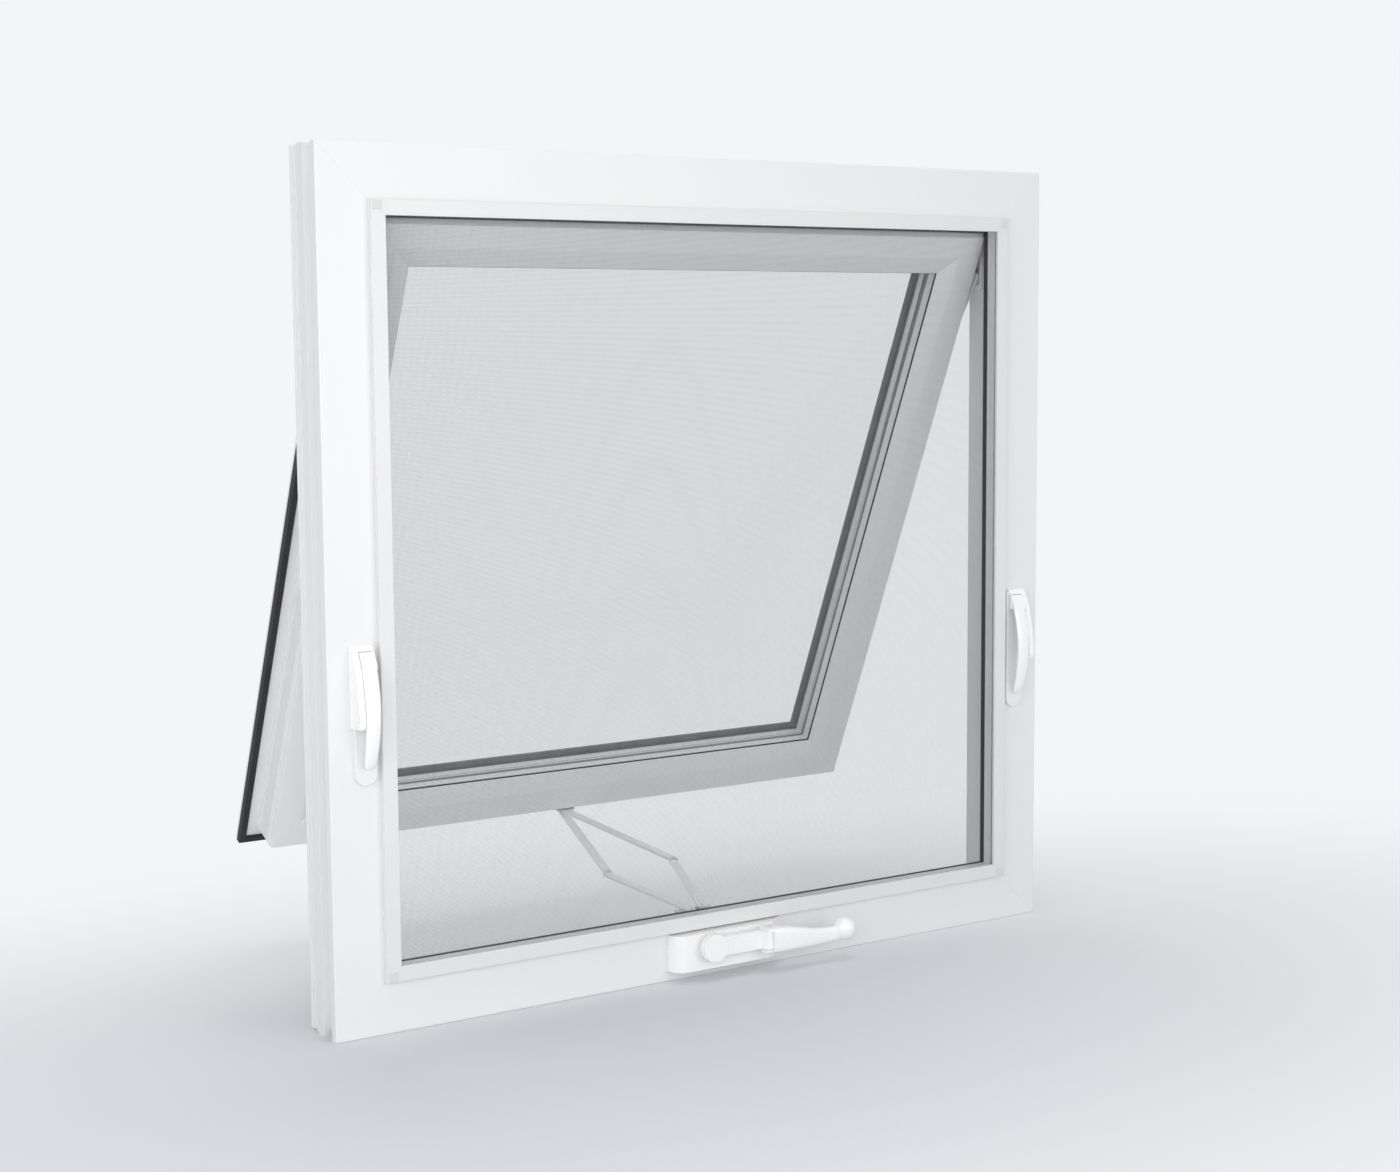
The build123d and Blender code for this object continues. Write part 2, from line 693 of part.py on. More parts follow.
# Operator arms: they lie in a sloping plane from the gear box up to the bottom rail
link_y = room_face + LINK_PIVOT_DEPTH
link_z = REBATE_INSET + LINK_PIVOT_HEIGHT
rail_seat = sash_base.from_local_coords((0, LINK_SEAT_DEPTH, -sash_height))
link_run = Vector(0, rail_seat.Y - link_y, rail_seat.Z - LINK_SEAT_DROP - link_z)
link_slope = atan2(link_run.Z, link_run.Y)
link_base = Plane(
    (LINK_CENTRE, link_y, link_z), (1, 0, 0), (0, -sin(link_slope), cos(link_slope))
)
apex = (0, link_run.length)
pivots = {-1: (-LINK_PIVOT_SPREAD / 2, 0), 1: (LINK_PIVOT_SPREAD / 2, 0)}
elbows = {
    -1: (-LINK_ELBOW_SPREAD / 2, LINK_ELBOW_REACH),
    1: (LINK_ELBOW_SPREAD / 2, LINK_ELBOW_REACH),
}
lower_layer = {-1: 0, 1: LINK_THICKNESS}
lower_arms = [
    flat_link(
        link_base.offset(lower_layer[side]),
        pivots[side],
        elbows[side],
        LINK_WIDTH,
        LINK_THICKNESS,
        RIVET_RADIUS,
    )
    for side in (-1, 1)
]
with BuildPart() as operator_lower_arms:
    add(lower_arms)
write(operator_lower_arms, "operator_lower_arms")

for side, name in {-1: "left", 1: "right"}.items():
    upper_arm = flat_link(
        link_base.offset(lower_layer[side] + LINK_THICKNESS),
        elbows[side],
        apex,
        LINK_WIDTH,
        LINK_THICKNESS,
        RIVET_RADIUS,
    )
    with BuildPart() as operator_upper_arm:
        add(upper_arm)
    write(operator_upper_arm, f"operator_upper_arm_{name}")

link_top = max(lower_layer.values()) + 2 * LINK_THICKNESS
rivets = []
for side in (-1, 1):
    low = lower_layer[side]
    high = low + LINK_THICKNESS
    rivets.append(stepped_pin(link_base, pivots[side], [(0, high, RIVET_RADIUS)]))
    elbow_top = high + LINK_THICKNESS
    elbow_rivet = [
        (low, elbow_top, RIVET_RADIUS),
        (elbow_top, elbow_top + RIVET_HEAD, RIVET_HEAD_RADIUS),
    ]
    rivets.append(stepped_pin(link_base, elbows[side], elbow_rivet))
rivets.append(stepped_pin(link_base, apex, [(LINK_THICKNESS, link_top, RIVET_RADIUS)]))
with BuildPart() as operator_rivets:
    add(rivets)
write(operator_rivets, "operator_rivets")

# Gear box on the rebate floor: its top is the plane on which the arms turn
box_front = LINK_PIVOT_DEPTH - LINK_WIDTH / 2
box_back = LINK_PIVOT_DEPTH + LINK_WIDTH
plate_front = STOP_DEPTH + SEAL_DEPTH + GASKET_THICKNESS
slope_rise = link_run.Z / link_run.Y
with BuildPart() as operator_gear_box:
    with BuildSketch(Plane.YZ.offset(LINK_CENTRE)):
        with BuildLine():
            Polyline(
                (room_face + box_front, REBATE_INSET),
                (room_face + box_back, REBATE_INSET),
                (room_face + box_back, link_z + (box_back - LINK_PIVOT_DEPTH) * slope_rise),
                (room_face + box_front, link_z + (box_front - LINK_PIVOT_DEPTH) * slope_rise),
                close=True,
            )
        make_face()
    extrude(amount=GEAR_BOX_LENGTH / 2, both=True)
    with BuildSketch(Plane.XY.offset(REBATE_INSET)):
        with Locations((LINK_CENTRE, room_face + plate_front)):
            Rectangle(GEAR_PLATE_LENGTH, GEAR_PLATE_WIDTH, align=(Align.CENTER, Align.MIN))
    extrude(amount=GEAR_PLATE_THICKNESS)
write(operator_gear_box, "operator_gear_box")

# Bracket between the arms' end and the underside of the bottom rail
bracket_low = [
    link_base.from_local_coords((0, apex[1] + reach, link_top))
    for reach in (BRACKET_REACH, -BRACKET_REACH)
]
bracket_high = [
    sash_base.from_local_coords((0, LINK_SEAT_DEPTH + reach, -sash_height))
    for reach in (-BRACKET_REACH, BRACKET_REACH)
]
with BuildPart() as sash_bracket:
    with BuildSketch(Plane.YZ.offset(LINK_CENTRE)):
        with BuildLine():
            Polyline(*[(point.Y, point.Z) for point in bracket_low + bracket_high], close=True)
        make_face()
    extrude(amount=BRACKET_WIDTH / 2, both=True)
write(sash_bracket, "sash_bracket")

# Locks: a face plate with a hooded body, and a bowed lever that swings out and up
lock_x = FRAME_WIDTH / 2 - LOCK_INSET
lock_top = LOCK_BOTTOM + LOCK_HEIGHT
lock_face = room_plane(frame_base, 0)
hood_bottom = lock_top - LOCK_HOOD_HEIGHT
lever_z = lock_top - LEVER_PIVOT_DROP
lever_y = room_face - LEVER_PIVOT_PROUD
slot_width = LEVER_WIDTH + 2 * LEVER_SIDE_GAP
root_radius = LEVER_THICKNESS
root_clear = root_radius + LEVER_ROOT_GAP
slot_room = room_face - LOCK_HOOD_PROUD
slot_back = lever_y + root_radius - LEVER_SIDE_GAP
bow_point = (lever_y - LEVER_BOW, lever_z - LEVER_REACH / 2)
tip_point = (lever_y, lever_z - LEVER_REACH)
body_bottom = lock_top - LOCK_BODY_HEIGHT
body_outline = [
    (room_face, body_bottom),
    (room_face - LOCK_BODY_PROUD, body_bottom),
    (room_face - LOCK_BODY_PROUD, hood_bottom),
    (slot_room, hood_bottom),
    (slot_room, lever_z),
    (room_face - LOCK_BODY_PROUD, lock_top),
    (room_face, lock_top),
]
for side, name in {-1: "left", 1: "right"}.items():
    side_plane = Plane.YZ.offset(side * lock_x)
    with BuildPart() as lock_body:
        with BuildSketch(side_plane):
            with BuildLine():
                Polyline(*body_outline, close=True)
            make_face()
        extrude(amount=LOCK_BODY_WIDTH / 2, both=True)
        with BuildSketch(lock_face):
            with Locations((side * lock_x, (lock_top + body_bottom) / 2)):
                RectangleRounded(LOCK_BODY_WIDTH, LOCK_BODY_HEIGHT, LOCK_BODY_CORNER)
        extrude(amount=LOCK_HOOD_PROUD, mode=Mode.INTERSECT)
        with BuildSketch(lock_face):
            with Locations((side * lock_x, LOCK_BOTTOM + LOCK_HEIGHT / 2)):
                RectangleRounded(LOCK_PLATE_WIDTH, LOCK_HEIGHT, LOCK_PLATE_CORNER)
        extrude(amount=LOCK_PLATE_PROUD)
        with BuildSketch(side_plane):
            with Locations((slot_back, hood_bottom)):
                Rectangle(
                    slot_back - slot_room,
                    2 * (lever_z - hood_bottom + root_clear),
                    align=(Align.MAX, Align.CENTER),
                )
            with Locations((lever_y, lever_z)):
                Circle(root_clear)
        extrude(amount=slot_width / 2, both=True, mode=Mode.SUBTRACT)
    write(lock_body, f"lock_body_{name}")

    with BuildPart() as lock_lever:
        with BuildSketch(side_plane):
            with BuildLine():
                ThreePointArc((lever_y, lever_z), bow_point, tip_point)
            trace(line_width=LEVER_THICKNESS)
            with Locations((lever_y, lever_z)):
                Circle(root_radius)
        extrude(amount=LEVER_WIDTH / 2, both=True)
    write(lock_lever, f"lock_lever_{name}")
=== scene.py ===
"""Looks of the awning window: materials, glass, mesh, seals, handles, floor, light, camera."""

import math

import bmesh
import bpy
from mathutils import Matrix, Vector


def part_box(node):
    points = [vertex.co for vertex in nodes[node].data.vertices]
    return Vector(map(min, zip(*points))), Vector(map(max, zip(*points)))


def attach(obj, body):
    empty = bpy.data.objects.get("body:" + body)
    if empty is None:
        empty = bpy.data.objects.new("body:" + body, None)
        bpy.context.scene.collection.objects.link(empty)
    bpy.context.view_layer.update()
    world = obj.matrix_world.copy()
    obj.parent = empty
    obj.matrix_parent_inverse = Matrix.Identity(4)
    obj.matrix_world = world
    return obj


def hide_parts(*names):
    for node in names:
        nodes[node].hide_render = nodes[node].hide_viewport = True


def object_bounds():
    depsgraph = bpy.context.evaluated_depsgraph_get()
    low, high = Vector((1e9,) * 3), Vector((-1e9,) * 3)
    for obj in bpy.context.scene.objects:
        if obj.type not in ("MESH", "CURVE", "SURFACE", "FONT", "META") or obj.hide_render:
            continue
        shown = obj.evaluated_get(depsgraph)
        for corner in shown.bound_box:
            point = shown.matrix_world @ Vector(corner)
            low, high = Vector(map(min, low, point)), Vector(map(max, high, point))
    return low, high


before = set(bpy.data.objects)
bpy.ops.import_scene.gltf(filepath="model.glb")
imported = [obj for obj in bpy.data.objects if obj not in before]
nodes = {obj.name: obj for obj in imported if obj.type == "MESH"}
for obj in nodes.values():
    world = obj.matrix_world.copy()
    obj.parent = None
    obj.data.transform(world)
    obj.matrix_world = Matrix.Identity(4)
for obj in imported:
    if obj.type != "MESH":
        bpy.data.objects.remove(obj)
cad_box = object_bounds()
MM = 0.001

# Row frame: +X to the right seen from the room, +Y to the outside, +Z up, in metres
RIGHT = Vector((1, 0, 0))
OUTSIDE = Vector((0, 1, 0))
ROOM = OUTSIDE * -1
UP = Vector((0, 0, 1))
UPRIGHT = (RIGHT, UP, OUTSIDE)

# The sash hangs swung open about a level axis near its top
SASH_TILT = math.radians(23.5)
SASH_UP = Vector((0, -math.sin(SASH_TILT), math.cos(SASH_TILT)))
SASH_OUT = Vector((0, math.cos(SASH_TILT), math.sin(SASH_TILT)))
TILTED = (RIGHT, SASH_UP, SASH_OUT)

# Softened edges, and the angle from which an edge of a new piece looks sharp
WELD_DISTANCE = 0.002 * MM
FLAT_ANGLE = math.radians(1)
BEVEL_ANGLE = math.radians(35)
BEVEL_SEGMENTS = 3
SHARP_ANGLE = math.radians(38)

# Material detail
NOISE_RANGE = (0.3, 0.7)
MOTTLE_DETAIL = 3
GRAIN_DETAIL = 2
BUMP_STRENGTH = 0.4
COAT_ROUGHNESS = 0.12
ALONG_X = (0.02, 1, 1)
ALONG_Z = (1, 1, 0.02)
FRAME_TONE = 0.835
# The sash is the frame's white plastic painted lighter: painted light that makes up for the shade it
# sits in behind the frame and the insect mesh
SASH_TONE_PAINTED_LIGHTER = 0.93

# Glass: two close tints, and its shine from straight on to a slant
GLASS_TINTS = ((0.972, 0.978, 0.976, 1), (0.978, 0.984, 0.982, 1))
GLASS_TINT_SCALE = 2
GLASS_ROUGHNESS = 0.01
GLASS_SHINE = 0.012
GLASS_SLANT_SHINE = 0.4
GLASS_SLANT_POWER = 4

# Insect mesh
WIRE_PITCH = 1.27 * MM
WIRE_WIDTH = 0.1 * MM
WIRE_SIDES = 4

# Glass unit: how far each pane's ground edge shows past the pane, and the two gasket lips
SPACER_FACE = 15 * MM
PANE_EDGES = {"glass_inner": 0, "glass_middle": 4 * MM, "glass_outer": 0}
INNER_GASKET_DEPTH = 1.5 * MM
INNER_GASKET_FACE = 9 * MM
OUTER_GASKET_DEPTH = 2 * MM
OUTER_GASKET_FACE = 12.5 * MM

# Weatherstrip's section: reach out past the sash lip's edge and depth from its room side, in mm
STRIP_SECTION = (
    (-6, 4),
    (-6, 1.2),
    (-5.6, 0.4),
    (-4.8, 0),
    (0, 0),
    (1.1, 0.5),
    (1.6, 1.6),
    (1.6, 9),
    (0.9, 9),
    (0.9, 4),
)

# Fine ribs along the sides: their depths from the room face of the sash and the frame, in mm
RIB_HEIGHT = 0.7 * MM
RIB_WIDTH = 1.1 * MM
RIB_BEVEL = 0.3 * MM
SASH_RIBS = (8, 13, 36, 41)
FRAME_RIBS = (46, 49, 59, 62)
SASH_LIP = 18 * MM
REAR_RECESS = 1.5 * MM

# Crank handle: station from its pin, top, bottom and depth of each section, in mm
GRIP_SECTIONS = (
    (-8, 14.5, -14.5, 20.6),
    (8, 14.5, -14.5, 20.6),
    (22, 13.2, -14.5, 19),
    (38, 9.8, -14.4, 16),
    (54, 6.2, -14.2, 12.8),
    (70, 4, -13.8, 10.6),
    (84, 3.4, -13.4, 9.6),
    (95, 4.5, -13, 9.6),
)
GRIP_STEPS = 6
GRIP_FRONT = 12.6
GRIP_END_SET_BACK = 6
GRIP_SET_BACK_PACE = 1.4
GRIP_SQUARENESS = 5
GRIP_END_SQUARENESS = 2.6
KNOB_RADIUS = 13.5 * MM
KNOB_STEPS = 24
KNUCKLE_ROOM = 8.6 * MM
KNUCKLE_HEIGHT = 21.6 * MM
KNUCKLE_STEPS = 24
KNUCKLE_CUT_REACH = 40 * MM

# Locks: places across, out from the frame's face and up from the lock's top, in mm
LOCK_OUTER = -16.5
LOCK_INNER = 7.5
LOCK_PROFILE = (
    (0, 0),
    (4, 0),
    (8, -5),
    (12.5, -15),
    (16.5, -25),
    (20.5, -44),
    (23.5, -64),
    (24.6, -78),
    (22, -83),
    (0, -84),
)
LOCK_BEVEL = 1.2
PLATE_MIDDLE = -1.6
PLATE_RADIUS = 12 * MM
PLATE_PROUD = 5
PLATE_TOP_DROP = 3 * MM
PLATE_STEPS = 32
LEVER_OUTER = -9.2
LEVER_ROOM = ((4.5, -6), (40, -6), (40, -100), (4.5, -100))
LEVER_ROOM_OUTER = -9.7
LEVER_ROOM_INNER = 12.5
LEVER_HEAD = (
    (6.5, -7),
    (8.5, -6.5),
    (12.5, -14),
    (17, -23),
    (14, -23.5),
    (6.5, -22),
)
LEVER_START = (13, -20)
LEVER_END = (10, -126)
LEVER_BOW = 10.3
LEVER_THICKNESS = 6
LEVER_END_HALF = 6
LEVER_TAPER = 3
LEVER_TIP_START = 0.9
LEVER_TIP_LEAST = 0.02
LEVER_TIP_NARROWING = 0.6
LEVER_SQUARENESS = 3.2
LEVER_STEPS = 28
LEVER_RING = 32

# Floor and backdrop: the floor fades out round a place in front of the window's left half
BACKDROP = (0.905, 0.913, 0.947, 1)
FLOOR = (0.69, 0.704, 0.734, 1)
FLOOR_TONE_CHANGE = 1.01
FLOOR_TONE_SCALE = 3
FLOOR_ROUGHNESS = 0.8
FLOOR_SPECULAR = 0.1
FLOOR_RADIUS = 60
FLOOR_SEGMENTS = 64
FADE_SQUEEZE = (0.55, 1, 1)
FADE_SHIFT = (0.165, 0.2, 0)
FADE_START = 0.03
FADE_END = 1.05

# Light: an even ambient light, and soft lamps as name, place, size, power and target
AMBIENT = (0.98, 0.99, 1, 1)
AMBIENT_STRENGTH = 0.5
LAMPS = (
    ("key", (-1.3, -1.9, 0.9), 1.1, 11, (0, 0, 0.4)),
    ("front", (0.6, -2.2, 0.7), 1.6, 11, (0, 0, 0.4)),
    ("left_fill", (-2, -0.9, 0.7), 1.3, 9, (0, 0, 0.4)),
    ("overhead", (0, -0.2, 2.6), 1.6, 12, (0, 0, 0)),
    ("back", (0.3, 2.6, 1.6), 1.8, 15, (0, 0.1, 0.4)),
)

# Camera
CAMERA_PLACE = Vector((-1.3764, -2.0925, 0.7030))
CAMERA_RIGHT = Vector((0.8354, -0.5497, -0.0068))
CAMERA_UP = Vector((0.0647, 0.0860, 0.9943))
CAMERA_LENS = 58.18


def eased(first, second, share):
    """Value at a share of the way from the first to the second."""
    return first + (second - first) * share


def new_material(name):
    """Empty node material and its tree."""
    made = bpy.data.materials.new(name)
    made.use_nodes = True
    made.node_tree.nodes.clear()
    return made, made.node_tree


def add_node(tree, kind, inputs=(), **settings):
    """Shader node with its settings, and its inputs each set to a value or linked to a socket."""
    made = tree.nodes.new(f"ShaderNode{kind}")
    for name, value in settings.items():
        setattr(made, name, value)
    for name, value in dict(inputs).items():
        if isinstance(value, bpy.types.NodeSocket):
            tree.links.new(value, made.inputs[name])
        else:
            made.inputs[name].default_value = value
    return made


def worked_out(tree, operation, *values):
    """Result of an arithmetic operation on values and sockets."""
    return add_node(tree, "Math", enumerate(values), operation=operation).outputs["Value"]


def noise(tree, place, scale, detail=MOTTLE_DETAIL):
    """Noise texture at a scale per metre."""
    inputs = {"Vector": place, "Scale": scale, "Detail": detail}
    return add_node(tree, "TexNoise", inputs).outputs["Fac"]


def remap(tree, value, low, high):
    """A noise value spread over low to high."""
    inputs = {
        "Value": value,
        "From Min": NOISE_RANGE[0],
        "From Max": NOISE_RANGE[1],
        "To Min": low,
        "To Max": high,
    }
    return add_node(tree, "MapRange", inputs).outputs["Result"]


def mixed_colour(tree, share, first, second):
    """Colour between two, by a socket's share."""
    inputs = {"Factor": share, "A": first, "B": second}
    return add_node(tree, "Mix", inputs, data_type="RGBA").outputs["Result"]


def mixed_shader(tree, share, first, second):
    """Shader between two, by a socket's share."""
    inputs = {"Fac": share, 1: first, 2: second}
    return add_node(tree, "MixShader", inputs).outputs["Shader"]


def scaled(colour, share):
    """Colour made lighter or darker, with its alpha."""
    return (*(min(1, part * share) for part in colour), 1)


def finish(
    name,
    colour,
    roughness,
    spread=0.03,
    mottle=6,
    grain=900,
    relief=0.02,
    shine=0.05,
    stretch=(1, 1, 1),
    tilt=0,
    metallic=0,
    coat=0,
):
    """Opaque material. mottle is the scale of its colour change and spread its strength,
    grain the scale of its surface relief, stretch draws both out along an axis."""
    made, tree = new_material(name)
    place = add_node(tree, "TexCoord").outputs["Object"]
    turn = {"Vector": place, "Rotation": (tilt, 0, 0), "Scale": stretch}
    where = add_node(tree, "Mapping", turn).outputs["Vector"]
    fine = noise(tree, where, grain, GRAIN_DETAIL)
    relief_inputs = {"Strength": BUMP_STRENGTH, "Distance": relief * MM, "Height": fine}
    tone_share = remap(tree, noise(tree, where, mottle), 0, 1)
    tones = (scaled(colour, 1 - spread), scaled(colour, 1 + spread))
    shader_inputs = {
        "Base Color": mixed_colour(tree, tone_share, *tones),
        "Metallic": metallic,
        "Roughness": remap(tree, fine, roughness - shine, roughness + shine),
        "Coat Weight": coat,
        "Coat Roughness": COAT_ROUGHNESS,
        "Normal": add_node(tree, "Bump", relief_inputs).outputs["Normal"],
    }
    shader = add_node(tree, "BsdfPrincipled", shader_inputs)
    add_node(tree, "OutputMaterial", {"Surface": shader.outputs["BSDF"]})
    return made


def white_plastic(name, tone, stretch, tilt=0):
    """Extruded white plastic, its faint grain drawn out along the bar."""
    colour = (tone, tone, tone - 0.003)
    return finish(
        name, colour, 0.36, spread=0.008, mottle=9, grain=1600, relief=0.03, stretch=stretch, tilt=tilt
    )


def clear_glass(name):
    """Thin clear glass: it passes most light straight on and reflects a little at a slant."""
    made, tree = new_material(name)
    place = add_node(tree, "TexCoord").outputs["Object"]
    tint = mixed_colour(tree, noise(tree, place, GLASS_TINT_SCALE), *GLASS_TINTS)
    through = add_node(tree, "BsdfTransparent", {"Color": tint}).outputs["BSDF"]
    gloss = add_node(tree, "BsdfGlossy", {"Roughness": GLASS_ROUGHNESS}).outputs["BSDF"]
    slant = add_node(tree, "LayerWeight").outputs["Facing"]
    steep = worked_out(tree, "POWER", slant, GLASS_SLANT_POWER)
    share = worked_out(tree, "MULTIPLY_ADD", steep, GLASS_SLANT_SHINE, GLASS_SHINE)
    add_node(tree, "OutputMaterial", {"Surface": mixed_shader(tree, share, through, gloss)})
    return made


def seen_directly(tree):
    """1 for rays that show the backdrop: from the camera, and by gloss and glass."""
    path = add_node(tree, "LightPath").outputs
    plain = worked_out(tree, "MAXIMUM", path["Is Camera Ray"], path["Is Glossy Ray"])
    return worked_out(tree, "MAXIMUM", plain, path["Is Transmission Ray"])


frame_across = white_plastic("frame_plastic_across", FRAME_TONE, ALONG_X)
frame_upright = white_plastic("frame_plastic_upright", FRAME_TONE, ALONG_Z)
# The sash plastic takes the tone painted lighter than the frame's, as painted light for its shade
sash_across = white_plastic("sash_plastic_across", SASH_TONE_PAINTED_LIGHTER, ALONG_X)
sash_tilted = white_plastic("sash_plastic_tilted", SASH_TONE_PAINTED_LIGHTER, ALONG_Z, -SASH_TILT)
coated = finish(
    "coated_aluminium", (0.775, 0.775, 0.773), 0.3, spread=0.01, mottle=12, grain=700, relief=0.05
)
plug = finish(
    "plug_plastic", (0.7, 0.7, 0.695), 0.45, spread=0.015, mottle=20, grain=900, relief=0.03
)
rubber = finish(
    "black_rubber", (0.018, 0.018, 0.02), 0.62, spread=0.2, mottle=40, grain=1200, relief=0.06
)
grey_rubber = finish(
    "grey_rubber", (0.27, 0.27, 0.275), 0.6, spread=0.1, mottle=40, grain=1200, relief=0.06
)
fibre = finish(
    "charcoal_fibre", (0.035, 0.035, 0.038), 0.55, spread=0.3, mottle=900, grain=2500, relief=0.02
)
spacer = finish(
    "warm_edge_spacer", (0.93, 0.92, 0.94), 0.5, spread=0.02, mottle=60, grain=1500, relief=0.03
)
glass_edge = finish(
    "ground_glass_edge", (0.27, 0.28, 0.28), 0.35, spread=0.1, mottle=120, grain=900, relief=0.05
)
enamel = finish(
    "white_enamel", (0.96, 0.96, 0.96), 0.25, spread=0.004, mottle=15, grain=500, shine=0.04, coat=0.3
)
# Lock plates: the locks' white enamel painted darker, as painted shade for the shade the plates sit in
plate_enamel_painted_shade = finish(
    "plate_enamel_painted_shade",
    (0.85, 0.85, 0.85),
    0.3,
    spread=0.006,
    mottle=15,
    grain=500,
    relief=0.03,
    shine=0.04,
)
steel = finish(
    "satin_steel",
    (0.62, 0.625, 0.63),
    0.34,
    spread=0.05,
    mottle=30,
    grain=1500,
    relief=0.04,
    stretch=ALONG_Z,
    metallic=1,
)
glass = clear_glass("clear_glass")

# Material and edge width in millimetres, by the start of a node's name
MATERIALS = {
    "frame_sill": frame_across,
    "frame_head": frame_across,
    "frame_jamb": frame_upright,
    "frame_seal": rubber,
    "screen_bar": coated,
    "screen_corner": plug,
    "screen_spline": rubber,
    "screen_mesh": fibre,
    "sash_bottom": sash_across,
    "sash_top": sash_across,
    "sash_stile": sash_tilted,
    "sash_weatherstrip": rubber,
    "sash_bracket": steel,
    "glazing_beads_across": sash_across,
    "glazing_beads_upright": sash_tilted,
    "glazing_gaskets": rubber,
    "glass_spacers": spacer,
    "glass": glass,
    "stay": enamel,
    "stay_shoes": steel,
    "stay_pins": steel,
    "operator_cover": enamel,
    "operator_lower": enamel,
    "operator_upper": enamel,
    "operator": steel,
    "handle_pin": steel,
    "crank": enamel,
    "lock": enamel,
}
BEVELS = {
    "frame_seal": 1.2,
    "frame": 0.3,
    "screen": 0.4,
    "sash": 0.5,
    "glazing_beads": 0.5,
    "glazing_gaskets": 0.3,
    "stay": 0.3,
    "operator_cover": 2.2,
    "operator": 0.4,
    "crank_arm": 1.2,
}


def best(table, name):
    """The entry whose key starts a node's name, the longest where several do."""
    keys = [key for key in table if name.startswith(key)]
    return table[max(keys, key=len)] if keys else None


def soften(obj, width):
    """Rounded edges of a width in millimetres, shaded so that large faces stay flat."""
    weld = obj.modifiers.new("weld", "WELD")
    weld.merge_threshold = WELD_DISTANCE
    flat = obj.modifiers.new("flat", "DECIMATE")
    flat.decimate_type = "DISSOLVE"
    flat.angle_limit = FLAT_ANGLE
    bevel = obj.modifiers.new("bevel", "BEVEL")
    bevel.width = width * MM
    bevel.segments = BEVEL_SEGMENTS
    bevel.limit_method = "ANGLE"
    bevel.angle_limit = BEVEL_ANGLE
    obj.modifiers.new("normals", "WEIGHTED_NORMAL")


def dress(name, obj):
    """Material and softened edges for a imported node."""
    obj.data.materials.clear()
    obj.data.materials.append(best(MATERIALS, name))
    width = best(BEVELS, name)
    if width:
        soften(obj, width)


def add_object(name, data):
    """Object in the scene."""
    made = bpy.data.objects.new(name, data)
    bpy.context.scene.collection.objects.link(made)
    return made


def mesh_object(name, mesh):
    """Object in the scene from a mesh, which is used up."""
    data = bpy.data.meshes.new(name)
    mesh.to_mesh(data)
    mesh.free()
    return add_object(name, data)


def piece(name, mesh, materials, body, replaced=()):
    """Finished mesh as a piece that rides on a body."""
    bmesh.ops.recalc_face_normals(mesh, faces=mesh.faces)
    for edge in mesh.edges:
        edge.smooth = edge.calc_face_angle(0) < SHARP_ANGLE
    for face in mesh.faces:
        face.smooth = True
    obj = mesh_object(name, mesh)
    for material in materials:
        obj.data.materials.append(material)
    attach(obj, body)
    if replaced:
        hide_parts(*replaced)
    return obj


def spans(name, axes):
    """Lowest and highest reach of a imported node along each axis."""
    points = [vertex.co for vertex in nodes[name].data.vertices]
    reaches = [[point.dot(axis) for point in points] for axis in axes]
    return [(min(reach), max(reach)) for reach in reaches]


def at(axes, *place):
    """Point from its coordinates along up to three axes."""
    return sum((axis * value for axis, value in zip(axes, place)), Vector())


def skin(mesh, rows, sides):
    """Faces between each row of corners and the next, round as many sides."""
    made = []
    for row, following in zip(rows, rows[1:]):
        for index in range(sides):
            after = (index + 1) % len(row)
            made.append(
                mesh.faces.new((row[index], row[after], following[after], following[index]))
            )
    return made


def corner_rows(mesh, rings):
    """Corners of a mesh for rings of points."""
    return [[mesh.verts.new(point) for point in ring] for ring in rings]


def loft(mesh, rings):
    """Closed skin over rings of points, each ring with as many."""
    rows = corner_rows(mesh, rings)
    ends = [mesh.faces.new(rows[0]), mesh.faces.new(rows[-1])]
    return ends + skin(mesh, rows, len(rows[0]))


def wire(mesh, start, end, width, across, deep):
    """Four-sided wire from start to end."""
    half = width / math.sqrt(2)
    sides = (across * half, deep * half, across * -half, deep * -half)
    rings = [[point + side for side in sides] for point in (start, end)]
    skin(mesh, corner_rows(mesh, rings), WIRE_SIDES)


def trim(mesh, axes, box, profile, open_top=False):
    """Profile of (reach outward, depth) carried round a rectangle, with mitred corners."""
    (left, right), (bottom, top) = box
    rings = []
    for reach, depth in profile:
        high = top if open_top else top + reach
        corners = (
            (left - reach, high),
            (left - reach, bottom - reach),
            (right + reach, bottom - reach),
            (right + reach, high),
        )
        rings.append([at(axes, *corner, depth) for corner in corners])
    rows = corner_rows(mesh, rings)
    ends = []
    if open_top:
        ends = [mesh.faces.new([row[end] for row in rows]) for end in (0, -1)]
    return ends + skin(mesh, rows + rows[:1], len(rows[0]) - len(ends) // 2)


def oval(middle, across, upward, squareness, count=40):
    """Ring round a middle, from an ellipse at squareness 2 towards a rectangle."""
    ring = []
    for index in range(count):
        angle = 2 * math.pi * index / count
        parts = []
        for wave in (math.cos(angle), math.sin(angle)):
            parts.append(math.copysign(abs(wave) ** (2 / squareness), wave))
        ring.append(middle + across * parts[0] + upward * parts[1])
    return ring


def arc(middle, radius, start, end, steps):
    """Places round part of a circle, as coordinates along two axes."""
    angles = [eased(start, end, step / steps) for step in range(steps + 1)]
    return [
        (middle[0] + radius * math.cos(angle), middle[1] + radius * math.sin(angle))
        for angle in angles
    ]


def prism(mesh, outline, axes, depth_axis, low, high):
    """Outline of places along two axes, drawn out from low to high along a third."""
    rings = [
        [at(axes, *place) + depth_axis * depth for place in outline] for depth in (low, high)
    ]
    return loft(mesh, rings)


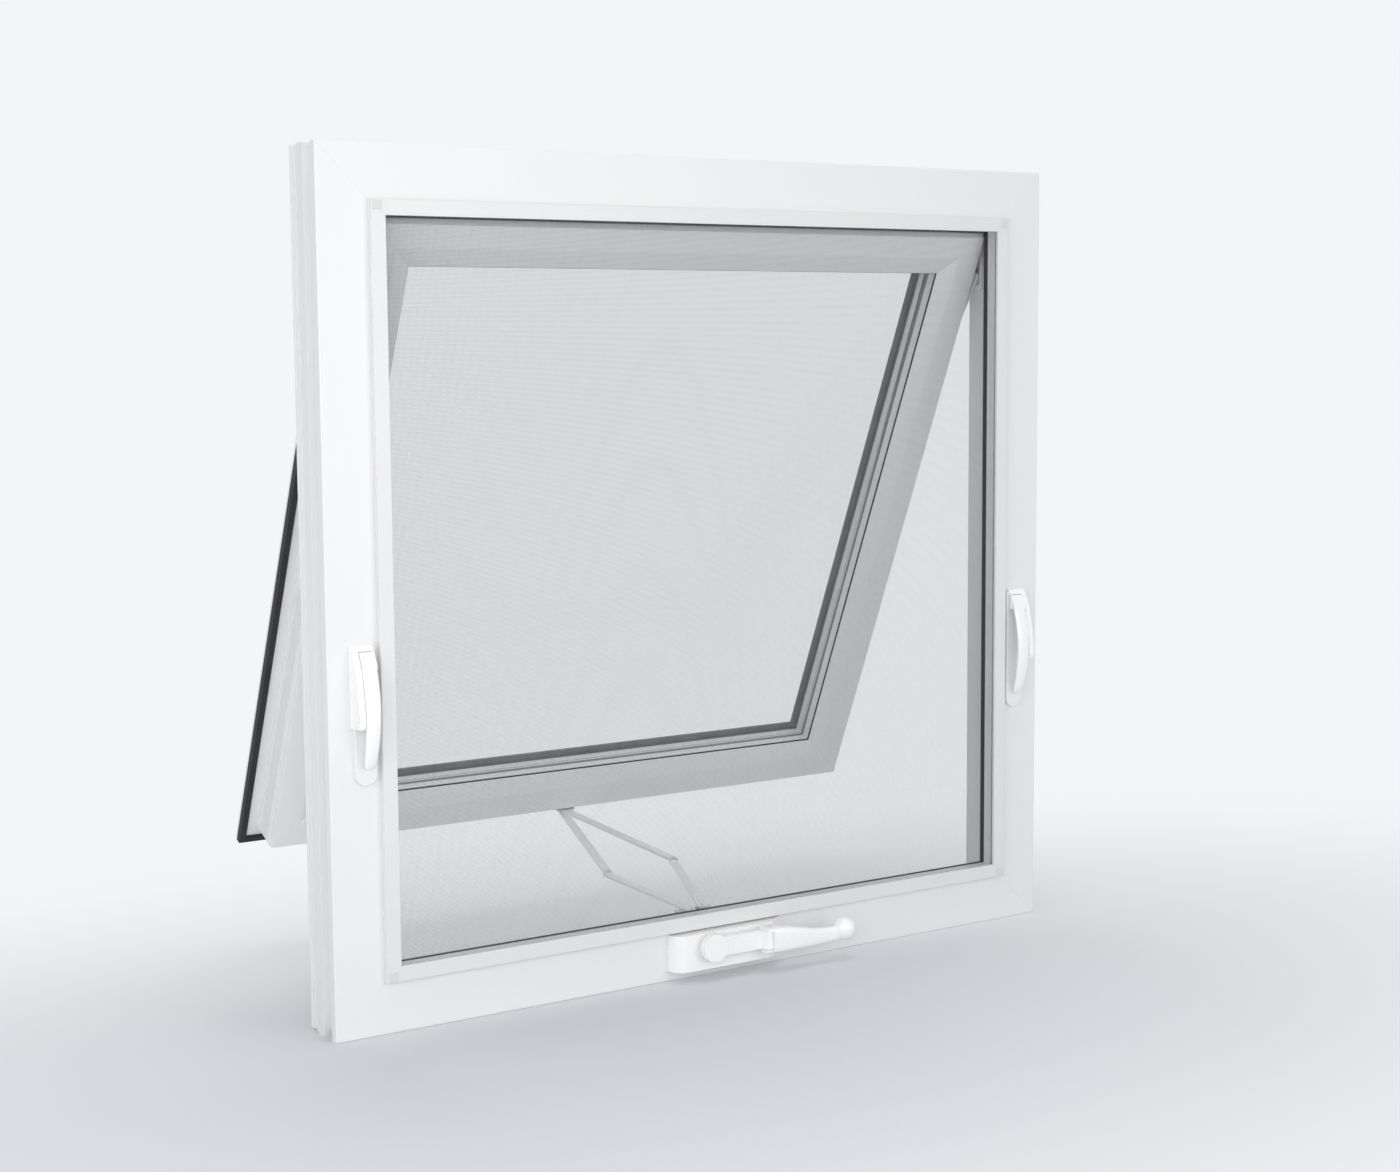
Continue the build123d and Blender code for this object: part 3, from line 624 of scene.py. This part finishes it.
def cut_from(mesh, cutter):
    """The mesh without what the cutter takes, as a new mesh."""
    for source in (mesh, cutter):
        bmesh.ops.recalc_face_normals(source, faces=source.faces)
    solid = mesh_object("solid", mesh)
    tool = mesh_object("cutter", cutter)
    cut = solid.modifiers.new("cut", "BOOLEAN")
    cut.operation = "DIFFERENCE"
    cut.solver = "EXACT"
    cut.object = tool
    ready = solid.evaluated_get(bpy.context.evaluated_depsgraph_get())
    carved = bmesh.new()
    carved.from_mesh(ready.to_mesh())
    for part in (solid, tool):
        bpy.data.objects.remove(part)
    return carved


def use_material(faces, index):
    """Give faces one of their piece's materials."""
    for face in faces:
        face.material_index = index


def make_insect_mesh():
    """A real thread for each line of the weave, held all round by the screen bars."""
    low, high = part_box("screen_mesh")
    size = high - low
    middle = (low.y + high.y) / 2
    columns = round(size.x / WIRE_PITCH)
    rows = round(size.z / WIRE_PITCH)
    weave = bmesh.new()
    for column in range(1, columns):
        x = low.x + size.x * column / columns
        depth = middle + WIRE_WIDTH / 2
        ends = (Vector((x, depth, low.z)), Vector((x, depth, high.z)))
        wire(weave, *ends, WIRE_WIDTH, RIGHT, OUTSIDE)
    for row in range(1, rows):
        z = low.z + size.z * row / rows
        depth = middle - WIRE_WIDTH / 2
        ends = (Vector((low.x, depth, z)), Vector((high.x, depth, z)))
        wire(weave, *ends, WIRE_WIDTH, UP, OUTSIDE)
    made = piece("insect_mesh", weave, [fibre], "window", ["screen_mesh"])


def make_pane(name, edge_growth):
    """A pane as its room-side face and the ground edge that shows between the spacers."""
    across, along, (near, far) = spans(name, TILTED)
    pane = bmesh.new()
    rings = []
    for inset, depth in ((0, near), (SPACER_FACE, near), (SPACER_FACE, far + edge_growth)):
        left, right = across[0] + inset, across[1] - inset
        bottom, top = along[0] + inset, along[1] - inset
        corners = ((left, bottom), (right, bottom), (right, top), (left, top))
        rings.append([at(TILTED, *corner, depth) for corner in corners])
    face_row, *edge_rows = corner_rows(pane, rings)
    pane.faces.new(face_row)
    use_material(skin(pane, edge_rows, len(face_row)), 1)
    piece(f"{name}_pane", pane, [glass, glass_edge], "window", [name])


def make_gaskets():
    """A black lip under the beads and a broader grey one outside the glass."""
    across, along, (near, far) = spans("glazing_gaskets", TILTED)
    gaskets = bmesh.new()
    lips = (
        (near, near + INNER_GASKET_DEPTH, -INNER_GASKET_FACE),
        (far - OUTER_GASKET_DEPTH, far, -OUTER_GASKET_FACE),
    )
    for index, (front, back, reach) in enumerate(lips):
        profile = ((0, front), (0, back), (reach, back), (reach, front))
        use_material(trim(gaskets, TILTED, (across, along), profile), index)
    piece("gaskets", gaskets, [rubber, grey_rubber], "window", ["glazing_gaskets"])


def make_weatherstrip():
    """Soft strip that wraps the edge of the sash's lip."""
    across, along, (room_side, _) = spans("sash_weatherstrip", TILTED)
    profile = [(reach * MM, room_side + depth * MM) for reach, depth in STRIP_SECTION]
    strip = bmesh.new()
    trim(strip, TILTED, (across, along), profile, open_top=True)
    piece("weatherstrip", strip, [rubber], "window", ["sash_weatherstrip"])


def ribs(axes, box, room_face, depths, open_top=False):
    """Fine ribs round a rectangle, at depths in millimetres from its room face."""
    made = bmesh.new()
    for depth in depths:
        near = room_face + depth * MM
        profile = (
            (-RIB_HEIGHT, near),
            (RIB_HEIGHT, near + RIB_BEVEL),
            (RIB_HEIGHT, near + RIB_WIDTH - RIB_BEVEL),
            (-RIB_HEIGHT, near + RIB_WIDTH),
        )
        trim(made, axes, box, profile, open_top)
    return made


def make_sash_ribs():
    """Ribs along the sides and the bottom of the sash, inside its lip."""
    across, along, _ = spans("sash_weatherstrip", TILTED)
    box = ((across[0] + SASH_LIP, across[1] - SASH_LIP), (along[0] + SASH_LIP, along[1]))
    room_face = spans("sash_bottom_rail", TILTED)[2][0]
    mesh = ribs(TILTED, box, room_face, SASH_RIBS, open_top=True)
    piece("sash_ribs", mesh, [sash_tilted], "window")


def make_frame_ribs():
    """Ribs all round the frame's rear part."""
    low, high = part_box("frame_sill")
    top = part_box("frame_head")[1].z
    box = (
        (low.x + REAR_RECESS, high.x - REAR_RECESS),
        (low.z + REAR_RECESS, top - REAR_RECESS),
    )
    mesh = ribs(UPRIGHT, box, low.y, FRAME_RIBS)
    piece("frame_ribs", mesh, [frame_upright], "window")


def grip_rings(pin):
    """Sections of the crank's grip, from its broad end round the pin to its thin end."""
    rings = []
    last_station = GRIP_SECTIONS[-1][0]
    for first, second in zip(GRIP_SECTIONS, GRIP_SECTIONS[1:]):
        for step in range(GRIP_STEPS):
            station, top, bottom, deep = (
                eased(start, end, step / GRIP_STEPS) for start, end in zip(first, second)
            )
            share = max(0, station) / last_station
            end_front = GRIP_END_SET_BACK + deep / 2
            front = eased(GRIP_FRONT, end_front, min(1, share * GRIP_SET_BACK_PACE))
            middle = pin + Vector((station, deep / 2 - front, (top + bottom) / 2)) * MM
            half_deep = OUTSIDE * (deep / 2 * MM)
            half_high = UP * ((top - bottom) / 2 * MM)
            squareness = eased(GRIP_SQUARENESS, GRIP_END_SQUARENESS, share)
            rings.append(oval(middle, half_deep, half_high, squareness))
    return rings


def ball_rings(middle, radius):
    """Rings of a ball, from left to right."""
    rings = []
    for step in range(1, KNOB_STEPS):
        angle = math.pi * step / KNOB_STEPS
        ring_radius = radius * math.sin(angle)
        ring_middle = middle - RIGHT * (radius * math.cos(angle))
        rings.append(oval(ring_middle, OUTSIDE * ring_radius, UP * ring_radius, 2))
    return rings


def make_crank_grip():
    """Grip with a straight underside that thins to a ball knob, cut out for the arm's knuckle."""
    pin_low, pin_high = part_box("handle_pin")
    pin = (pin_low + pin_high) / 2
    knob_low, knob_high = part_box("crank_knob")
    knob_middle = (knob_low + knob_high) / 2
    knob_middle.x = knob_high.x - KNOB_RADIUS
    grip = bmesh.new()
    loft(grip, grip_rings(pin))
    left = pin.x - KNUCKLE_CUT_REACH
    front, back = pin.y - KNUCKLE_CUT_REACH, pin.y + KNUCKLE_CUT_REACH
    plan = arc((pin.x, pin.y), KNUCKLE_ROOM, -math.pi / 2, math.pi / 2, KNUCKLE_STEPS)
    plan += [(pin.x, back), (left, back), (left, front), (pin.x, front)]
    knuckle = bmesh.new()
    half_height = KNUCKLE_HEIGHT / 2
    prism(knuckle, plan, (RIGHT, OUTSIDE), UP, pin.z - half_height, pin.z + half_height)
    grip = cut_from(grip, knuckle)
    loft(grip, ball_rings(knob_middle, KNOB_RADIUS))
    replaced = ["crank_handle", "crank_knob"]
    piece("crank_grip", grip, [enamel], "handle", replaced)


def lock_seat(body):
    """Point on the frame's face behind the middle of a lock's top."""
    low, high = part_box(f"lock_body_{body}")
    return Vector(((low.x + high.x) / 2, high.y, high.z))


def across_lock(seat, side, place):
    """X of a place in millimetres from a lock's middle towards the window's middle."""
    return seat.x - side * place * MM


def lock_block(mesh, seat, side, outline, first, last):
    """Outline of places out and up from a lock's seat, drawn out between two places across."""
    placed = [(-seat.y + out * MM, seat.z + up * MM) for out, up in outline]
    ends = (across_lock(seat, side, place) for place in (first, last))
    prism(mesh, placed, (ROOM, UP), RIGHT, *ends)


def make_lock_case(side, body):
    """A cheek and a roof on a plate, with room cut out for the lever."""
    seat = lock_seat(body)
    case = bmesh.new()
    lock_block(case, seat, side, LOCK_PROFILE, LOCK_OUTER, LOCK_INNER)
    room = bmesh.new()
    lock_block(room, seat, side, LEVER_ROOM, LEVER_ROOM_OUTER, LEVER_ROOM_INNER)
    case = cut_from(case, room)
    middle = across_lock(seat, side, PLATE_MIDDLE)
    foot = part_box(f"lock_body_{body}")[0].z + PLATE_RADIUS
    plate = arc((middle, foot), PLATE_RADIUS, math.pi, 2 * math.pi, PLATE_STEPS)
    plate += [(middle + reach, seat.z - PLATE_TOP_DROP) for reach in (PLATE_RADIUS, -PLATE_RADIUS)]
    plate_faces = prism(case, plate, (RIGHT, UP), ROOM, -seat.y, -seat.y + PLATE_PROUD * MM)
    use_material(plate_faces, 1)
    # The plate takes the darker enamel, which is painted shade
    materials = [enamel, plate_enamel_painted_shade]
    replaced = [f"lock_body_{body}"]
    made = piece(f"lock_case_{body}", case, materials, "window", replaced)
    soften(made, LOCK_BEVEL)


def blade_rings(seat, lever_x):
    """Sections of a lock lever's bowed blade, from its head to its rounded tip."""
    rings = []
    half_width = (LOCK_INNER - LEVER_OUTER) / 2
    run = LEVER_END[0] - LEVER_START[0]
    fall = LEVER_END[1] - LEVER_START[1]
    for step in range(LEVER_STEPS + 1):
        share = step / LEVER_STEPS
        out = LEVER_START[0] + run * share + LEVER_BOW * 4 * share * (1 - share)
        up = LEVER_START[1] + fall * share
        slope = run + LEVER_BOW * 4 * (1 - 2 * share)
        normal = (OUTSIDE * fall + UP * -slope).normalized()
        past_tip_start = max(0, (share - LEVER_TIP_START) / (1 - LEVER_TIP_START))
        tip = math.sqrt(max(LEVER_TIP_LEAST, 1 - past_tip_start ** 2))
        narrowing = 1 - LEVER_TIP_NARROWING * (1 - tip)
        half = eased(half_width, LEVER_END_HALF, share ** LEVER_TAPER) * narrowing * MM
        thick = LEVER_THICKNESS / 2 * tip * MM
        middle = Vector((lever_x, seat.y - out * MM, seat.z + up * MM))
        rings.append(oval(middle, RIGHT * half, normal * thick, LEVER_SQUARENESS, LEVER_RING))
    return rings


def make_lock_lever(side, body):
    """A broad bowed lever that lies beside the lock's cheek."""
    seat = lock_seat(body)
    lever = bmesh.new()
    lock_block(lever, seat, side, LEVER_HEAD, LEVER_OUTER, LOCK_INNER)
    loft(lever, blade_rings(seat, across_lock(seat, side, (LEVER_OUTER + LOCK_INNER) / 2)))
    name = f"lock_handle_{body}"
    replaced = [f"lock_lever_{body}"]
    piece(name, lever, [enamel], f"lever_{body}", replaced)


def make_floor():
    """Floor, lit near the window so that it keeps the shadow, and faded into the backdrop."""
    mesh = bmesh.new()
    bmesh.ops.create_circle(mesh, cap_ends=True, segments=FLOOR_SEGMENTS, radius=FLOOR_RADIUS)
    floor = mesh_object("floor", mesh)
    floor.location.z = cad_box[0].z
    material, tree = new_material("floor_paint")
    place = add_node(tree, "TexCoord").outputs["Object"]
    squeeze_inputs = {"Vector": place, "Location": FADE_SHIFT, "Scale": FADE_SQUEEZE}
    squeezed = add_node(tree, "Mapping", squeeze_inputs).outputs["Vector"]
    distance = add_node(tree, "VectorMath", {0: squeezed}, operation="LENGTH").outputs["Value"]
    fade_inputs = {"Value": distance, "From Min": FADE_START, "From Max": FADE_END}
    fade = add_node(tree, "MapRange", fade_inputs, interpolation_type="SMOOTHSTEP")
    share = worked_out(tree, "MULTIPLY", fade.outputs["Result"], seen_directly(tree))
    tones = (FLOOR, scaled(FLOOR[:3], FLOOR_TONE_CHANGE))
    paint_inputs = {
        "Base Color": mixed_colour(tree, noise(tree, place, FLOOR_TONE_SCALE), *tones),
        "Roughness": FLOOR_ROUGHNESS,
        "Specular IOR Level": FLOOR_SPECULAR,
    }
    paint = add_node(tree, "BsdfPrincipled", paint_inputs).outputs["BSDF"]
    glow = add_node(tree, "Emission", {"Color": BACKDROP}).outputs["Emission"]
    add_node(tree, "OutputMaterial", {"Surface": mixed_shader(tree, share, paint, glow)})
    floor.data.materials.append(material)


def make_world():
    """The backdrop where it is seen, and an even light elsewhere."""
    world = bpy.data.worlds.new("studio")
    bpy.context.scene.world = world
    world.use_nodes = True
    tree = world.node_tree
    tree.nodes.clear()
    lights = [
        add_node(tree, "Background", {"Color": colour, "Strength": strength})
        for colour, strength in ((AMBIENT, AMBIENT_STRENGTH), (BACKDROP, 1))
    ]
    ambient, backdrop = (light.outputs["Background"] for light in lights)
    surface = mixed_shader(tree, seen_directly(tree), ambient, backdrop)
    add_node(tree, "OutputWorld", {"Surface": surface})


def make_lamp(name, place, size, power, target):
    """Soft round lamp that points at a target."""
    data = bpy.data.lights.new(name, "AREA")
    data.shape = "DISK"
    data.size = size
    data.energy = power
    lamp = add_object(name, data)
    lamp.location = place
    lamp.rotation_euler = (Vector(target) - Vector(place)).to_track_quat("-Z", "Y").to_euler()


def make_camera():
    """Camera at the photograph's viewing angle."""
    data = bpy.data.cameras.new("camera")
    data.lens = CAMERA_LENS
    camera = add_object("camera", data)
    backward = CAMERA_RIGHT.cross(CAMERA_UP)
    turn = Matrix((CAMERA_RIGHT, CAMERA_UP, backward)).transposed().to_4x4()
    camera.matrix_world = Matrix.Translation(CAMERA_PLACE) @ turn
    bpy.context.scene.camera = camera


for node_name, node in nodes.items():
    dress(node_name, node)

make_insect_mesh()
for pane_name, growth in PANE_EDGES.items():
    make_pane(pane_name, growth)
make_gaskets()
make_weatherstrip()
make_sash_ribs()
make_frame_ribs()
make_crank_grip()
for lock_side, lock_name in ((-1, "left"), (1, "right")):
    make_lock_case(lock_side, lock_name)
    make_lock_lever(lock_side, lock_name)

make_floor()
make_world()
for lamp_values in LAMPS:
    make_lamp(*lamp_values)
make_camera()

bpy.context.scene.view_settings.view_transform = "Standard"
